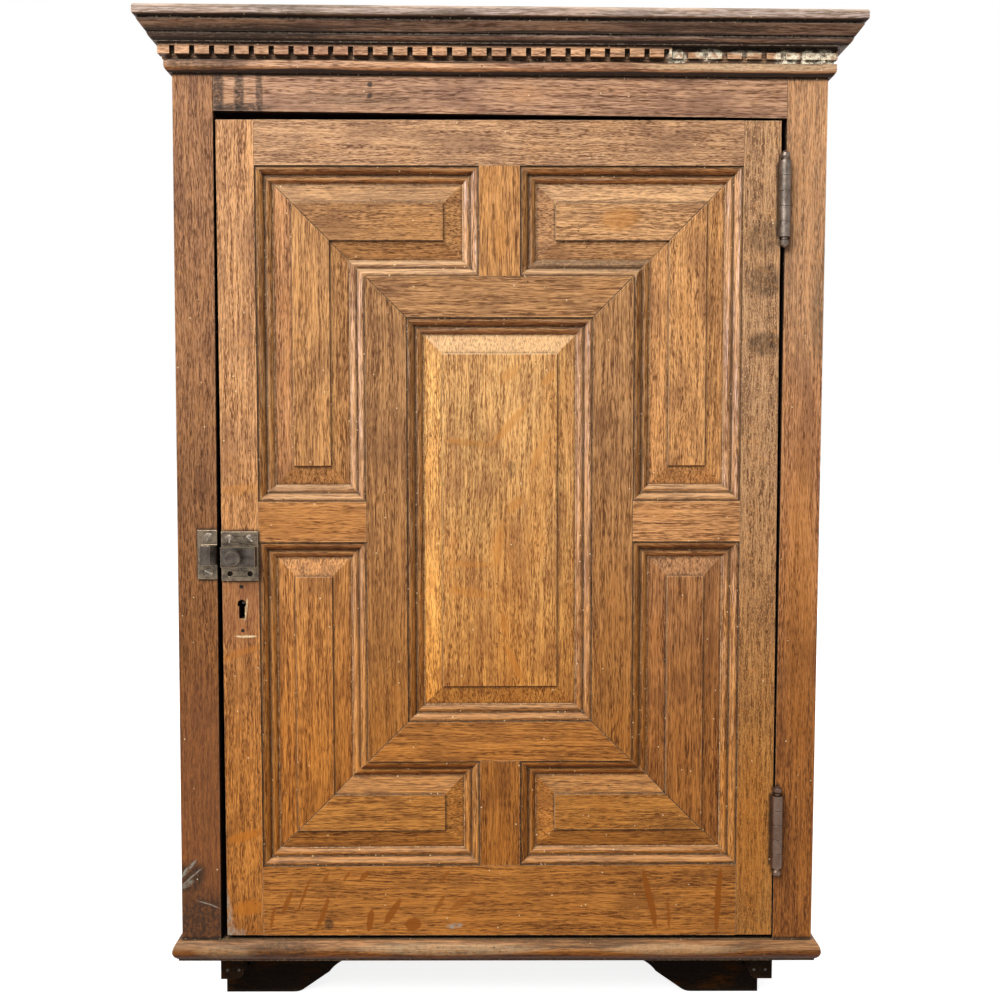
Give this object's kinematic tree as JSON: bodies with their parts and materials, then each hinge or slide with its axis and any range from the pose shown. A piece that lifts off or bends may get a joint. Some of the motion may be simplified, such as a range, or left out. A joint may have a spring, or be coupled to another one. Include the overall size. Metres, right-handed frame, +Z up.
{
  "type": "medicine cabinet",
  "caption": "Standing oak medicine cabinet with a moulded dentil cornice, bracket feet and a geometric panelled door that swings on butt hinges, with a turn latch and a lock.",
  "frame": {"origin": "on the floor under the middle of the cabinet's box", "axes": "+Z up, +Y from the door to the back, +X to the hinge side"},
  "size_m": [0.547, 0.2384, 0.7801],
  "materials": {
    "carcass_oak": "worn waxed reddish oak",
    "door_oak": "worn waxed golden oak",
    "panel_oak": "worn waxed golden oak",
    "inner_oak": "dry unpolished oak",
    "foot_oak": "blackened oak",
    "hinge_iron": "brown patina",
    "latch_bronze": "dark bronze patina",
    "lock_iron": "dull iron"
  },
  "bodies": {
    "carcass": {"back_plank_left": "inner_oak", "back_plank_right": "inner_oak", "base_mould_front": "carcass_oak", "base_mould_left": "carcass_oak", "base_mould_right": "carcass_oak", "bed_mould_front": "carcass_oak", "bed_mould_left": "carcass_oak", "bed_mould_right": "carcass_oak", "bottom_board": "inner_oak", "bracket_feet_front": "foot_oak", "bracket_feet_rear": "foot_oak", "carcass_stile_left": "carcass_oak", "carcass_stile_right": "carcass_oak", "crown_mould_front": "carcass_oak", "crown_mould_left": "carcass_oak", "crown_mould_right": "carcass_oak", "dentil_strip_front": "carcass_oak", "dentil_strip_left": "carcass_oak", "dentil_strip_right": "carcass_oak", "foot_runner_left": "foot_oak", "foot_runner_right": "foot_oak", "frieze_rail": "carcass_oak", "hinge_leaves_frame": "hinge_iron", "hinge_pins": "hinge_iron", "latch_keeper": "latch_bronze", "shelf_lower": "inner_oak", "shelf_upper": "inner_oak", "side_panel_left": "carcass_oak", "side_panel_right": "carcass_oak", "top_board": "inner_oak"},
    "door": {"centre_panel": "panel_oak", "door_crossrail_left": "door_oak", "door_crossrail_right": "door_oak", "door_muntin_bottom": "door_oak", "door_muntin_top": "door_oak", "door_rail_bottom": "door_oak", "door_rail_top": "door_oak", "door_stile_hinge": "door_oak", "door_stile_latch": "door_oak", "hinge_leaves_door": "hinge_iron", "inner_frame_bottom": "door_oak", "inner_frame_left": "door_oak", "inner_frame_right": "door_oak", "inner_frame_top": "door_oak", "latch_case": "latch_bronze", "lock_case": "lock_iron", "panel_lower_left_cross": "panel_oak", "panel_lower_left_upright": "panel_oak", "panel_lower_right_cross": "panel_oak", "panel_lower_right_upright": "panel_oak", "panel_moulding_crosses": "panel_oak", "panel_moulding_uprights": "panel_oak", "panel_upper_left_cross": "panel_oak", "panel_upper_left_upright": "panel_oak", "panel_upper_right_cross": "panel_oak", "panel_upper_right_upright": "panel_oak"},
    "latch_bolt": {"latch_bolt": "latch_bronze"},
    "latch_knob": {"latch_knob": "latch_bronze"},
    "lock_bolt": {"lock_bolt": "lock_iron"}
  },
  "joints": [
    {"name": "door_swing", "type": "hinge", "parent": "carcass", "child": "door", "pos_m": [0.21865, -0.10055, 0.39614], "axis": [-0.0052, 0, 1], "range_deg": [0, 175]},
    {"name": "latch_knob_turn", "type": "hinge", "parent": "door", "child": "latch_knob", "pos_m": [-0.20366, -0.09575, 0.36753], "axis": [0, -1, 0], "range_deg": [0, 90]},
    {"name": "latch_bolt_slide", "type": "slide", "parent": "door", "child": "latch_bolt", "axis": [-1, 0, -0.0052], "range_m": [0, 0.00708]},
    {"name": "lock_bolt_slide", "type": "slide", "parent": "door", "child": "lock_bolt", "axis": [-1, 0, -0.0052], "range_m": [0, 0.008]}
  ],
  "couplings": [
    {"joint": "latch_bolt_slide", "follows": "latch_knob_turn", "m_per_rad": 0.0045016}
  ]
}
